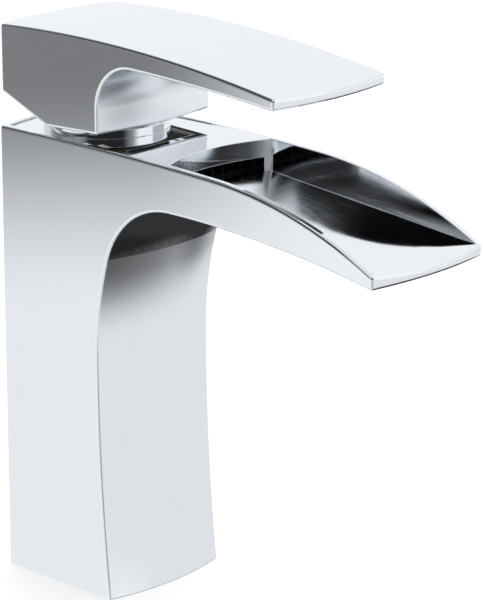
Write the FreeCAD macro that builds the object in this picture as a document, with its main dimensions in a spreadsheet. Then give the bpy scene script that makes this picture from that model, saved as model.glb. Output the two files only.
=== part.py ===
"""Single-lever waterfall basin faucet with a 35 mm ceramic-disc cartridge.

X points from the cartridge axis towards the basin, Y to the left and Z up. The origin is the mouth of the
stud thread, in the middle of the foot. Lengths are in millimetres.
"""

import FreeCAD
import Part
import Sketcher
import math
import operator
import os
from types import SimpleNamespace

SIZES = {
    # Outside of the casting: planar flanks, bowed ends, a hollow throat and a falling crown.
    "body_width": 46.0,
    "rear_reach": 20.7,
    "rear_bow": 3.4,
    "foot_reach": 22.2,
    "waist_reach": 18.1,
    "waist_height": 73.7,
    "column_bow": 3.2,
    "column_radius": 108.2,
    "throat_radius": 25.0,
    "arch_height": 122.0,
    "lip_reach": 120.6,
    "lip_underside": 114.7,
    "lip_thickness": 3.9,
    "lip_bow": 2.4,
    "top_height": 136.35,
    "crown_radius": 1200.0,
    "crown_knee": 63.0,
    "edge_round": 0.8,
    "rim_width": 2.2,
    "deck_drop": 0.4,
    # Trough and outlet waterway.
    "trough_rear": 45.5,
    "trough_hollow": 4.4,
    "floor_thickness": 4.2,
    "floor_dish": 0.8,
    "slot_height": 4.0,
    "slot_width": 38.0,
    "slot_rear": 33.0,
    "duct_width": 14.0,
    "duct_rear": 14.0,
    "duct_reach": 19.8,
    "duct_drop": 11.0,
    "fan_rise": 8.0,
    "fan_height": 11.0,
    "gallery_drop": 7.0,
    "passage_radius": 2.9,
    # Cartridge chamber.
    "chamber_depth": 35.95,
    "chamber_radius": 17.5,
    "nut_thread_radius": 18.0,
    "peg_radius": 1.9,
    "peg_length": 3.0,
    "peg_back": 11.5,
    "peg_spread": 7.0,
    # Foot: stud thread, inlet threads, risers, cored pockets and gasket groove.
    "stud_radius": 3.4,
    "stud_depth": 20.0,
    "inlet_radius": 4.5,
    "inlet_depth": 14.0,
    "riser_radius": 3.5,
    "riser_forward": 4.2,
    "riser_spread": 10.3,
    "core_radius": 15.0,
    "core_height": 80.0,
    "web_rear": 5.5,
    "web_front": 11.5,
    "gasket_margin": 1.6,
    "gasket_bore": 16.8,
    "gasket_thickness": 1.5,
    # Flow straightener.
    "straightener_length": 6.0,
    "straightener_setback": 0.6,
    "window_width": 3.2,
    "window_height": 2.6,
    "window_pitch": 4.0,
    # Cartridge, from the chamber floor upwards.
    "base_thickness": 6.0,
    "seal_width": 1.4,
    "seal_height": 1.2,
    "disc_thickness": 3.5,
    "fixed_disc_radius": 13.2,
    "moving_disc_radius": 10.0,
    "moving_disc_back": 1.1,
    "port_radius": 2.0,
    "port_spread": 5.1,
    "outlet_radius": 2.6,
    "outlet_back": 3.5,
    "recess_radius": 4.2,
    "recess_length": 4.5,
    "recess_depth": 1.8,
    "carrier_thickness": 3.0,
    "carrier_block_length": 9.2,
    "carrier_block_width": 10.0,
    "carrier_block_rise": 8.6,
    "housing_bore": 13.5,
    "housing_ledge": 19.5,
    "housing_shoulder": 26.0,
    "housing_height": 33.0,
    "neck_wall": 2.6,
    "ring_rise": 23.3,
    "ring_section": 0.65,
    "spindle_radius": 10.5,
    "spindle_height": 37.0,
    "flange_thickness": 3.0,
    "limit_ring_height": 2.4,
    "limit_window_radius": 12.3,
    "limit_tab_radius": 12.0,
    "limit_tab_width": 3.2,
    "limit_tab_height": 1.8,
    "nut_height": 5.6,
    "nut_notch": 3.0,
    "nut_notch_depth": 2.0,
    # Collar.
    "collar_radius": 18.6,
    "collar_height": 3.0,
    "collar_bore": 13.8,
    "collar_skirt": 3.6,
    "collar_wall": 1.6,
    "collar_ring_drop": 1.9,
    "collar_ring_section": 0.5,
    # Lever, measured from its pivot.
    "pivot_rise": 32.0,
    "pin_radius": 1.5,
    "pin_length": 20.0,
    "arm_length": 10.0,
    "ball_radius": 3.0,
    "stem_width": 8.0,
    "stem_top": 24.0,
    "hub_radius": 4.2,
    "stem_slot_rear": 7.4,
    "stem_slot_front": 6.6,
    "arm_thickness": 3.6,
    "arm_width": 5.0,
    # Handle, measured from the lever's pivot.
    "handle_rear": 19.6,
    "handle_rear_bow": 3.5,
    "tip_reach": 85.6,
    "tip_bow": 2.4,
    "paddle_rise": 35.24,
    "paddle_crest": 6.6,
    "paddle_radius": 465.0,
    "grip_rise": 28.62,
    "grip_crest": 12.9,
    "grip_radius": 759.0,
    "block_reach": 19.1,
    "block_bow": 2.4,
    "block_throat": 13.0,
    "block_front_rise": 7.9,
    "block_rise": 7.1,
    "heel_reach": 1.5,
    "heel_rise": 14.5,
    "handle_wall": 3.2,
    "handle_front_wall": 2.8,
    "handle_rear_wall": 2.3,
    "cavity_rise": 25.0,
    "socket_radius": 9.5,
    "socket_rise": 13.5,
    "bush_width": 11.0,
    "screw_radius": 2.5,
    "screw_length": 5.8,
    "screw_rise": 20.6,
    "key_width": 2.5,
    "plug_radius": 3.6,
    "plug_thickness": 1.6,
    # Clearances.
    "running_gap": 0.08,
    "seat_gap": 0.1,
    "turning_gap": 0.3,
}


class Size:
    """A length that knows both its value and the sheet formula that gives it."""

    def __init__(self, value, formula):
        self.value = value
        self.formula = formula

    def __neg__(self):
        return 0 - self


def as_size(item):
    """Let plain numbers stand beside sizes in a formula."""
    if isinstance(item, Size):
        return item
    return Size(float(item), f"({float(item)})")


def arithmetic(sign, work):
    """Both orders of one arithmetic sign, for the value and for the formula."""

    def forward(left, right):
        left, right = as_size(left), as_size(right)
        return Size(work(left.value, right.value), f"({left.formula} {sign} {right.formula})")

    def backward(right, left):
        return forward(left, right)

    return forward, backward


Size.__add__, Size.__radd__ = arithmetic("+", operator.add)
Size.__sub__, Size.__rsub__ = arithmetic("-", operator.sub)
Size.__mul__, Size.__rmul__ = arithmetic("*", operator.mul)
Size.__truediv__, Size.__rtruediv__ = arithmetic("/", operator.truediv)


def root(item):
    return Size(math.sqrt(item.value), f"sqrt({item.formula})")


def bow_radius(half_chord, bow):
    """Radius of the arc that rises by bow over a chord."""
    return (half_chord * half_chord + bow * bow) / (2 * bow)


doc = FreeCAD.newDocument("waterfall_basin_faucet")
sheet = doc.addObject("Spreadsheet::Sheet", "Sizes")
for row, (alias, value) in enumerate(SIZES.items(), start=1):
    sheet.set(f"A{row}", alias)
    sheet.set(f"B{row}", str(value))
    sheet.setAlias(f"B{row}", alias)
doc.recompute()
size = SimpleNamespace(**{alias: Size(value, f"Sizes.{alias}") for alias, value in SIZES.items()})


# Drawing helpers.


def bind(item, place, length):
    """Tie a property or a constraint to the sheet."""
    length = as_size(length)
    if "Sizes." in length.formula:
        item.setExpression(place, length.formula)


def piece(name, height=0, forward=0):
    """A new sub-part, placed at its own height above the deck that the faucet stands on."""
    body = doc.addObject("PartDesign::Body", name)
    body.Label = name
    forward, height = as_size(forward), as_size(height)
    body.Placement = FreeCAD.Placement(FreeCAD.Vector(forward.value, 0, height.value), FreeCAD.Rotation())
    bind(body, "Placement.Base.x", forward)
    bind(body, "Placement.Base.z", height)
    return body


def origin_item(body, role):
    return next(item for item in body.Origin.OriginFeatures if item.Role == role)


def sketch_on(body, plane, level=0, shift=0):
    """A sketch on an origin plane of its body, moved along the normal by level and across by shift."""
    drawing = body.newObject("Sketcher::SketchObject", f"{body.Name}_sketch")
    drawing.AttachmentSupport = [(origin_item(body, plane), "")]
    drawing.MapMode = "FlatFace"
    level, shift = as_size(level), as_size(shift)
    offset = FreeCAD.Vector(shift.value, 0, level.value)
    drawing.AttachmentOffset = FreeCAD.Placement(offset, FreeCAD.Rotation())
    bind(drawing, "AttachmentOffset.Base.x", shift)
    bind(drawing, "AttachmentOffset.Base.z", level)
    return drawing


def place_point(drawing, element, end, across, up):
    """Hold one point of a sketch at its distances from the sketch's origin."""
    for kind, distance, axis in (("DistanceX", across, -2), ("DistanceY", up, -1)):
        distance = as_size(distance)
        if distance.value == 0 and "Sizes." not in distance.formula:
            drawing.addConstraint(Sketcher.Constraint("PointOnObject", element, end, axis))
        else:
            index = drawing.addConstraint(Sketcher.Constraint(kind, -1, 1, element, end, distance.value))
            bind(drawing, f"Constraints[{index}]", distance)


def set_radius(drawing, element, radius):
    radius = as_size(radius)
    index = drawing.addConstraint(Sketcher.Constraint("Radius", element, radius.value))
    bind(drawing, f"Constraints[{index}]", radius)


def circle(drawing, across, up, radius):
    centre = FreeCAD.Vector(as_size(across).value, as_size(up).value, 0)
    ring = Part.Circle(centre, FreeCAD.Vector(0, 0, 1), as_size(radius).value)
    element = drawing.addGeometry(ring)
    place_point(drawing, element, 3, across, up)
    set_radius(drawing, element, radius)


def arc_between(start, end, radius, turn):
    """The short arc from start to end, with its centre to the left or to the right of the way."""
    side = 1 if turn == "left" else -1
    chord = end - start
    height = math.sqrt(max(radius * radius - chord.Length**2 / 4, 0))
    across = FreeCAD.Vector(-chord.y, chord.x, 0).normalize()
    centre = (start + end) * 0.5 + across * height * side
    first, last = (start, end) if turn == "left" else (end, start)
    angles = [math.atan2(point.y - centre.y, point.x - centre.x) for point in (first, last)]
    return Part.ArcOfCircle(Part.Circle(centre, FreeCAD.Vector(0, 0, 1), radius), *angles)


def outline(drawing, corners, closed=True):
    """Join corners by lines, or by an arc where a corner is followed by a turn and a radius."""
    spots = [FreeCAD.Vector(as_size(corner[0]).value, as_size(corner[1]).value, 0) for corner in corners]
    ends = []
    for index in range(len(corners) if closed else len(corners) - 1):
        corner = corners[index]
        start, end = spots[index], spots[(index + 1) % len(spots)]
        if len(corner) == 2:
            element = drawing.addGeometry(Part.LineSegment(start, end))
            ends.append((element, 1, 2))
        else:
            turn, radius = corner[2:]
            element = drawing.addGeometry(arc_between(start, end, as_size(radius).value, turn))
            set_radius(drawing, element, radius)
            ends.append((element, 1, 2) if turn == "left" else (element, 2, 1))
    for index, (element, start, end) in enumerate(ends):
        place_point(drawing, element, start, *corners[index][:2])
        if closed or index + 1 < len(ends):
            following, first, _ = ends[(index + 1) % len(ends)]
            drawing.addConstraint(Sketcher.Constraint("Coincident", element, end, following, first))
    if not closed:
        place_point(drawing, ends[-1][0], ends[-1][2], *corners[-1][:2])


def box_corners(low_across, low_up, high_across, high_up):
    return [(low_across, low_up), (high_across, low_up), (high_across, high_up), (low_across, high_up)]


def extrude(body, kind, drawing, length=None, reverse=False, symmetric=False):
    """A Pad or a Pocket; a Pocket with no length cuts through all."""
    feature = body.newObject(f"PartDesign::{kind}", f"{body.Name}_{kind.lower()}")
    feature.Profile = drawing
    feature.Reversed = reverse
    if symmetric:
        feature.SideType = "Symmetric"
    if length is None:
        feature.Type = "ThroughAll"
    else:
        feature.Length = as_size(length).value
        bind(feature, "Length", length)
    return feature


def pad(body, drawing, length, reverse=False, symmetric=False):
    return extrude(body, "Pad", drawing, length, reverse, symmetric)


def pocket(body, drawing, length=None, reverse=False, symmetric=False):
    return extrude(body, "Pocket", drawing, length, reverse, symmetric)


def turned(body, corners):
    """A turned piece: the outline of (radius, height) corners revolved about the upright axis."""
    drawing = sketch_on(body, "XZ_Plane")
    outline(drawing, corners)
    return revolved(body, drawing)


def revolved(body, drawing):
    feature = body.newObject("PartDesign::Revolution", f"{body.Name}_revolution")
    feature.Profile = drawing
    feature.ReferenceAxis = (drawing, ["V_Axis"])
    feature.Angle = 360
    return feature


def swept_cut(body, corners, bow):
    """Carry a side outline along a bow in plan without turning it, and take that away.

    The sweep starts and ends a little outside the flanks, on the arc that passes through their corners.
    """
    radius = bow_radius(half_width, bow)
    reach = half_width + 1
    whole_bow = radius - root(radius * radius - reach * reach)
    drawing = sketch_on(body, "XZ_Plane", reach, shift=bow - whole_bow)
    outline(drawing, corners)
    path = sketch_on(body, "XY_Plane")
    outline(path, [(0, -reach, "left", radius), (0, reach)], closed=False)
    feature = body.newObject("PartDesign::SubtractivePipe", f"{body.Name}_sweep")
    feature.Profile = drawing
    feature.Spine = (path, ["Edge1"])
    feature.Mode = "Fixed"
    return feature


def loft_cut(body, first, last):
    feature = body.newObject("PartDesign::SubtractiveLoft", f"{body.Name}_loft")
    feature.Profile = first
    feature.Sections = [last]
    feature.Ruled = True
    return feature


def is_sharp(shape, edge):
    """Whether the two faces at an edge meet at a clear angle, and don't run into each other."""
    middle = edge.valueAt((edge.FirstParameter + edge.LastParameter) / 2)
    faces = shape.ancestorsOfType(edge, Part.Face)
    normals = [face.normalAt(*face.Surface.parameter(middle)) for face in faces]
    return normals[0].getAngle(normals[-1]) > math.radians(20)


def round_edges(body, radius, above):
    """Round the sharp edges of the piece so far that reach over a level."""
    doc.recompute()
    before = body.Tip
    names = [
        f"Edge{number}"
        for number, edge in enumerate(before.Shape.Edges, start=1)
        if edge.BoundBox.ZMax > above and is_sharp(before.Shape, edge)
    ]
    feature = body.newObject("PartDesign::Fillet", f"{body.Name}_round")
    feature.Base = (before, names)
    feature.Radius = as_size(radius).value
    bind(feature, "Radius", radius)
    return feature


def bowed_plan(rear, rear_bow, front, front_bow, half_width):
    """A plan outline with straight flanks and ends that bow outwards."""
    return [
        (-rear, -half_width),
        (front, -half_width, "left", bow_radius(half_width, front_bow)),
        (front, half_width),
        (-rear, half_width, "left", bow_radius(half_width, rear_bow)),
    ]


def inset_end(reach, bow, margin):
    """Reach and bow of a full-width bowed end once its outline moves inwards by margin."""
    radius = bow_radius(half_width, bow) - margin
    inner_half = half_width - margin
    inner_bow = radius - root(radius * radius - inner_half * inner_half)
    return reach + bow - margin - inner_bow, inner_bow


# Levels that the pieces share.

half_width = size.body_width / 2
channel_half_width = half_width - size.rim_width
deck = size.top_height - size.deck_drop
seat = deck - size.chamber_depth
disc_level = seat + size.base_thickness
moving_level = disc_level + size.disc_thickness
carrier_level = moving_level + size.disc_thickness
shoulder = seat + size.housing_shoulder
housing_top = seat + size.housing_height
pivot = seat + size.pivot_rise
slot_floor = size.arch_height + size.floor_thickness
lip_height = size.lip_underside + size.lip_thickness
floor_fall = (slot_floor - lip_height) / (size.lip_reach - size.trough_rear)
beyond_lip = size.lip_reach + size.lip_bow + 1
cartridge_radius = size.chamber_radius - 2 * size.seat_gap
neck_radius = size.spindle_radius + size.running_gap + size.neck_wall


# Casting.


def underside_corners():
    """Side outline of everything in front of the column and under the spout.

    The throat's arc leaves the column's upper arc at the joint and is level at the top of the arch.
    """
    throat = size.throat_radius
    throat_up = size.arch_height - throat
    rise = throat_up - size.waist_height
    between = size.column_radius - throat
    arch_reach = size.waist_reach + size.column_radius - root(between * between - rise * rise)
    share = throat / between
    joint_across = arch_reach + share * (arch_reach - size.waist_reach - size.column_radius)
    joint_up = throat_up + share * rise
    flare = size.foot_reach - size.waist_reach
    lower_radius = (size.waist_height * size.waist_height + flare * flare) / (2 * flare)
    run = size.lip_reach - arch_reach
    fall = size.arch_height - size.lip_underside
    arch_radius = (run * run + fall * fall) / (2 * fall)
    return [
        (size.foot_reach, -1),
        (size.foot_reach, 0, "right", lower_radius),
        (size.waist_reach, size.waist_height, "right", size.column_radius),
        (joint_across, joint_up, "right", throat),
        (arch_reach, size.arch_height, "right", arch_radius),
        (size.lip_reach, size.lip_underside),
        (beyond_lip + size.column_bow, size.lip_underside),
        (beyond_lip + size.column_bow, -1),
    ]


def crown_corners():
    """Side outline of everything over the casting: level at the rear, then two falling arcs."""
    knee_drop = root(size.crown_radius * size.crown_radius - size.crown_knee * size.crown_knee)
    knee_up = size.top_height - size.crown_radius + knee_drop
    run = size.lip_reach - size.crown_knee
    fall = lip_height - knee_up
    toward_centre = fall * (size.top_height - size.crown_radius - knee_up) - run * size.crown_knee
    nose_radius = size.crown_radius * (run * run + fall * fall) / (2 * toward_centre)
    share = nose_radius / size.crown_radius
    centre_across = size.crown_knee * (1 - share)
    centre_up = knee_up + share * (size.top_height - size.crown_radius - knee_up)
    reach = beyond_lip - centre_across
    end_up = centre_up + root(nose_radius * nose_radius - reach * reach)
    over = size.top_height + 2
    return [
        (0, size.top_height, "right", size.crown_radius),
        (size.crown_knee, knee_up, "right", nose_radius),
        (beyond_lip, end_up),
        (beyond_lip, over),
        (0, over),
    ]


def trough_section(body, across, dish):
    """Section of the open channel at one distance from the axis: upright walls and a floor that may dish."""
    edge_up = slot_floor - (across - size.trough_rear) * floor_fall
    floor_start = (-channel_half_width, edge_up)
    if dish:
        floor_start += ("left", bow_radius(channel_half_width, size.floor_dish))
    drawing = sketch_on(body, "YZ_Plane", across)
    outline(
        drawing,
        [
            floor_start,
            (channel_half_width, edge_up),
            (channel_half_width, size.top_height + 1),
            (-channel_half_width, size.top_height + 1),
        ],
    )
    return drawing


def slot_section(body, across):
    drawing = sketch_on(body, "YZ_Plane", across)
    half_slot = size.slot_width / 2
    outline(drawing, box_corners(-half_slot, slot_floor, half_slot, slot_floor + size.slot_height))
    return drawing


def cut_trough(body):
    """The open channel: a dished floor falling to the lip, and a hollow rear wall over the outlet slot."""
    start = trough_section(body, size.trough_rear, dish=False)
    loft_cut(body, start, trough_section(body, beyond_lip, dish=True))
    rear_wall = sketch_on(body, "XY_Plane", slot_floor)
    outline(
        rear_wall,
        [
            (size.trough_rear + 1, -channel_half_width),
            (size.trough_rear + 1, channel_half_width),
            (size.trough_rear, channel_half_width, "left", bow_radius(channel_half_width, size.trough_hollow)),
            (size.trough_rear, -channel_half_width),
        ],
    )
    pocket(body, rear_wall, size.top_height - slot_floor + 1, reverse=True)


def cut_waterways(body):
    """Mixed water leaves the chamber floor, runs forward, rises in a duct and fans out to the slot."""
    pocket(body, slot_section(body, size.slot_rear), size.trough_rear - size.slot_rear + 1, reverse=True)
    half_duct = size.duct_width / 2
    fan_start = sketch_on(body, "YZ_Plane", (size.duct_rear + size.duct_reach) / 2)
    fan_floor = seat + size.fan_rise
    outline(fan_start, box_corners(-half_duct, fan_floor, half_duct, fan_floor + size.fan_height))
    loft_cut(body, fan_start, slot_section(body, size.slot_rear))

    duct = sketch_on(body, "XY_Plane", seat - size.duct_drop)
    outline(duct, box_corners(size.duct_rear, -half_duct, size.duct_reach, half_duct))
    pocket(body, duct, size.duct_drop + size.fan_rise + size.fan_height / 2, reverse=True)

    gallery = sketch_on(body, "YZ_Plane", -size.outlet_back)
    circle(gallery, 0, seat - size.gallery_drop, size.passage_radius)
    pocket(body, gallery, size.outlet_back + size.duct_rear + 1, reverse=True)
    outlet = sketch_on(body, "XY_Plane", seat)
    circle(outlet, -size.outlet_back, 0, size.passage_radius)
    pocket(body, outlet, size.gallery_drop)


def cut_chamber(body):
    """The cartridge chamber, its wider threaded mouth and the two peg holes in its floor."""
    for level, radius in ((seat, size.chamber_radius), (shoulder, size.nut_thread_radius)):
        bore = sketch_on(body, "XY_Plane", level)
        circle(bore, 0, 0, radius)
        pocket(body, bore, reverse=True)
    pegs = sketch_on(body, "XY_Plane", seat)
    for side in (-1, 1):
        circle(pegs, -size.peg_back, size.peg_spread * side, size.peg_radius)
    pocket(body, pegs, size.peg_length + size.seat_gap)


def cut_foot(body):
    """Inlet risers with their threads, the stud thread, two cored pockets and the gasket groove."""
    for radius, depth in ((size.riser_radius, seat), (size.inlet_radius, size.inlet_depth)):
        risers = sketch_on(body, "XY_Plane")
        for side in (-1, 1):
            circle(risers, size.riser_forward, size.riser_spread * side, radius)
        pocket(body, risers, depth, reverse=True)
    stud = sketch_on(body, "XY_Plane")
    circle(stud, 0, 0, size.stud_radius)
    pocket(body, stud, size.stud_depth, reverse=True)
    for side, across in ((-1, size.web_rear), (1, size.web_front)):
        half_chord = root(size.core_radius * size.core_radius - across * across)
        core = sketch_on(body, "XY_Plane")
        outline(
            core,
            [
                (across * side, -half_chord * side, "left", size.core_radius),
                (across * side, half_chord * side),
            ],
        )
        pocket(body, core, size.core_height, reverse=True)
    groove = sketch_on(body, "XY_Plane")
    outline(groove, foot_plan(size.gasket_margin))
    circle(groove, 0, 0, size.gasket_bore)
    pocket(body, groove, size.gasket_thickness, reverse=True)


def foot_plan(margin):
    """Plan outline of the foot, moved inwards by margin."""
    rear, rear_bow = inset_end(size.rear_reach, size.rear_bow, margin)
    front, front_bow = inset_end(size.foot_reach, size.column_bow, margin)
    return bowed_plan(rear, rear_bow, front, front_bow, half_width - margin)


def make_faucet_body():
    body = piece("faucet_body")
    plan = sketch_on(body, "XY_Plane")
    outline(plan, bowed_plan(size.rear_reach, size.rear_bow, size.lip_reach, size.lip_bow, half_width))
    pad(body, plan, size.top_height)

    swept_cut(body, underside_corners(), size.column_bow)
    crown = sketch_on(body, "XZ_Plane")
    outline(crown, crown_corners())
    pocket(body, crown, symmetric=True)
    round_edges(body, size.edge_round, above=1)

    rear, rear_bow = inset_end(size.rear_reach, size.rear_bow, size.rim_width)
    recess = sketch_on(body, "XY_Plane", deck)
    outline(
        recess,
        [
            (-rear, -channel_half_width),
            (size.trough_rear, -channel_half_width),
            (size.trough_rear, channel_half_width),
            (-rear, channel_half_width, "left", bow_radius(channel_half_width, rear_bow)),
        ],
    )
    pocket(body, recess, size.deck_drop + 1, reverse=True)
    cut_trough(body)
    cut_chamber(body)
    cut_waterways(body)
    cut_foot(body)


# Small parts in the casting.


def make_base_gasket():
    gasket = piece("base_gasket")
    plan = sketch_on(gasket, "XY_Plane")
    outline(plan, foot_plan(size.gasket_margin + size.seat_gap))
    circle(plan, 0, 0, size.gasket_bore + size.seat_gap)
    pad(gasket, plan, size.gasket_thickness)


def make_flow_straightener():
    """A comb behind the slot whose windows calm the water before it reaches the trough."""
    comb = piece("flow_straightener", slot_floor)
    front = size.trough_rear - size.trough_hollow - size.straightener_setback
    half_comb = size.slot_width / 2 - size.seat_gap
    face = sketch_on(comb, "YZ_Plane", front)
    outline(face, box_corners(-half_comb, size.seat_gap, half_comb, size.slot_height - size.seat_gap))
    pad(comb, face, size.straightener_length, reverse=True)

    windows = 9
    first = -size.window_pitch * (windows - 1) / 2
    middle = size.slot_height / 2
    across, up = size.window_width / 2, size.window_height / 2
    window = sketch_on(comb, "YZ_Plane", front)
    outline(window, box_corners(first - across, middle - up, first + across, middle + up))
    cut = pocket(comb, window)
    row = comb.newObject("PartDesign::LinearPattern", "flow_straightener_row")
    row.Originals = [cut]
    row.Direction = (window, ["H_Axis"])
    row.Occurrences = windows
    row.Length = (size.window_pitch * (windows - 1)).value
    bind(row, "Length", size.window_pitch * (windows - 1))
    comb.Tip = row


# Cartridge.


def ports(forward, spread, inlet_radius):
    """The two inlets and the outlet as (across, up, radius)."""
    inlets = [(forward, spread * side, inlet_radius) for side in (-1, 1)]
    return inlets + [(-size.outlet_back, 0, size.outlet_radius)]


def riser_ports():
    return ports(size.riser_forward, size.riser_spread, size.riser_radius - 0.5)


def disc_ports():
    return ports(size.riser_forward, size.port_spread, size.port_radius)


def make_cartridge_base():
    """The seat of the fixed disc: inclined channels carry the inlets inwards to the disc's ports."""
    base = piece("cartridge_base", seat)
    plan = sketch_on(base, "XY_Plane")
    circle(plan, 0, 0, cartridge_radius)
    pad(base, plan, size.base_thickness)
    pegs = sketch_on(base, "XY_Plane")
    for side in (-1, 1):
        circle(pegs, -size.peg_back, size.peg_spread * side, size.peg_radius - size.seat_gap)
    pad(base, pegs, size.peg_length, reverse=True)
    for low, high in zip(riser_ports(), disc_ports()):
        low_end = sketch_on(base, "XY_Plane")
        circle(low_end, *low)
        high_end = sketch_on(base, "XY_Plane", size.base_thickness)
        circle(high_end, *high)
        loft_cut(base, low_end, high_end)
    for level, openings in ((0, riser_ports()), (size.base_thickness, disc_ports())):
        seats = sketch_on(base, "XY_Plane", level)
        for across, up, radius in openings:
            circle(seats, across, up, radius + size.seal_width)
        pocket(base, seats, size.seal_height, reverse=level == 0)


def make_seals(name, height, openings):
    """One ring around each port."""
    seals = piece(name, height)
    plan = sketch_on(seals, "XY_Plane")
    for across, up, radius in openings:
        circle(plan, across, up, radius + size.seal_width - size.seat_gap)
        circle(plan, across, up, radius + size.seat_gap)
    pad(seals, plan, size.seal_height)


def make_fixed_disc():
    disc = piece("fixed_disc", disc_level)
    plan = sketch_on(disc, "XY_Plane")
    circle(plan, 0, 0, size.fixed_disc_radius)
    for opening in disc_ports():
        circle(plan, *opening)
    pad(disc, plan, size.disc_thickness)


def make_moving_disc():
    """The sliding disc; the pocket in its underside joins the inlets to the outlet."""
    disc = piece("moving_disc", moving_level, -size.moving_disc_back)
    plan = sketch_on(disc, "XY_Plane")
    circle(plan, 0, 0, size.moving_disc_radius)
    pad(disc, plan, size.disc_thickness)
    front = size.moving_disc_back
    rear = front - size.recess_length
    for across in (rear, front):
        round_end = sketch_on(disc, "XY_Plane")
        circle(round_end, across, 0, size.recess_radius)
        pocket(disc, round_end, size.recess_depth, reverse=True)
    middle = sketch_on(disc, "XY_Plane")
    outline(middle, box_corners(rear, -size.recess_radius, front, size.recess_radius))
    pocket(disc, middle, size.recess_depth, reverse=True)


def make_disc_carrier():
    """The plate on the moving disc, with the block whose socket the lever's ball pushes."""
    carrier = piece("disc_carrier", carrier_level, -size.moving_disc_back)
    plate = sketch_on(carrier, "XY_Plane")
    circle(plate, 0, 0, size.moving_disc_radius)
    pad(carrier, plate, size.carrier_thickness)
    middle = size.moving_disc_back
    half_length, half_block = size.carrier_block_length / 2, size.carrier_block_width / 2
    block = sketch_on(carrier, "XY_Plane")
    outline(block, box_corners(middle - half_length, -half_block, middle + half_length, half_block))
    pad(carrier, block, size.carrier_thickness + size.carrier_block_rise)
    half_socket = size.ball_radius + size.seat_gap
    socket_floor = pivot - size.arm_length - size.ball_radius - size.turning_gap - carrier_level
    socket = sketch_on(carrier, "XY_Plane", socket_floor)
    outline(socket, box_corners(middle - half_socket, -half_socket, middle + half_socket, half_socket))
    pocket(carrier, socket, reverse=True)


def make_cartridge_housing():
    groove_low = size.ring_rise - size.ring_section - 0.15
    groove_high = size.ring_rise + size.ring_section + 0.15
    groove_radius = size.chamber_radius - 2 * size.ring_section - size.seat_gap
    bearing = size.spindle_radius + size.running_gap
    turned(
        piece("cartridge_housing", seat),
        [
            (size.housing_bore, size.base_thickness),
            (cartridge_radius, size.base_thickness),
            (cartridge_radius, groove_low),
            (groove_radius, groove_low),
            (groove_radius, groove_high),
            (cartridge_radius, groove_high),
            (cartridge_radius, size.housing_shoulder),
            (neck_radius, size.housing_shoulder),
            (neck_radius, size.housing_height),
            (bearing, size.housing_height),
            (bearing, size.housing_ledge),
            (size.housing_bore, size.housing_ledge),
        ],
    )


def make_o_ring(name, radius, section, height):
    ring = doc.addObject("Part::Torus", name)
    ring.Label = name
    ring.Placement = FreeCAD.Placement(FreeCAD.Vector(0, 0, height.value), FreeCAD.Rotation())
    for place, length in (("Radius1", radius), ("Radius2", section)):
        setattr(ring, place, length.value)
        bind(ring, place, length)
    bind(ring, "Placement.Base.z", height)


def make_retaining_nut():
    nut = piece("retaining_nut", shoulder)
    inner, outer = neck_radius + size.turning_gap, size.nut_thread_radius - size.seat_gap
    turned(nut, box_corners(inner, 0, outer, size.nut_height))
    half_notch = size.nut_notch / 2
    for across, up in ((outer + 1, half_notch), (half_notch, outer + 1)):
        notches = sketch_on(nut, "XY_Plane", size.nut_height)
        outline(notches, box_corners(-across, -up, across, up))
        pocket(nut, notches, size.nut_notch_depth)


def make_limit_ring():
    """The stop ring; the spindle's tab swings in its window."""
    ring = piece("limit_ring", housing_top)
    inner = size.spindle_radius + size.turning_gap
    turned(ring, box_corners(inner, 0, neck_radius, size.limit_ring_height))
    angle = math.radians(60)
    outer = size.limit_window_radius
    back, side = math.cos(angle), math.sin(angle)
    window = sketch_on(ring, "XY_Plane")
    outline(
        window,
        [
            (-outer * back, outer * side, "left", outer),
            (-outer * back, -outer * side),
            (-(inner - 1) * back, -(inner - 1) * side),
            (-(inner - 1) * back, (inner - 1) * side),
        ],
    )
    pocket(ring, window, reverse=True)


def make_dome_collar():
    """The ring on the deck that covers the cartridge nut; its skirt is pushed into the chamber's mouth."""
    skirt_outer = size.nut_thread_radius - size.seat_gap
    skirt_inner = skirt_outer - size.collar_wall
    groove = size.nut_thread_radius - 2 * size.collar_ring_section - size.seat_gap
    groove_top = -size.collar_ring_drop + size.collar_ring_section + size.seat_gap
    groove_bottom = -size.collar_ring_drop - size.collar_ring_section - size.seat_gap
    chamfer = 0.5
    turned(
        piece("dome_collar", deck),
        [
            (skirt_inner, -size.collar_skirt),
            (skirt_outer, -size.collar_skirt),
            (skirt_outer, groove_bottom),
            (groove, groove_bottom),
            (groove, groove_top),
            (skirt_outer, groove_top),
            (skirt_outer, 0),
            (size.collar_radius, 0),
            (size.collar_radius, size.collar_height - chamfer),
            (size.collar_radius - chamfer, size.collar_height),
            (size.collar_bore, size.collar_height),
            (size.collar_bore, 1),
            (skirt_inner, 1),
        ],
    )


# Turning spindle.


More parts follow.
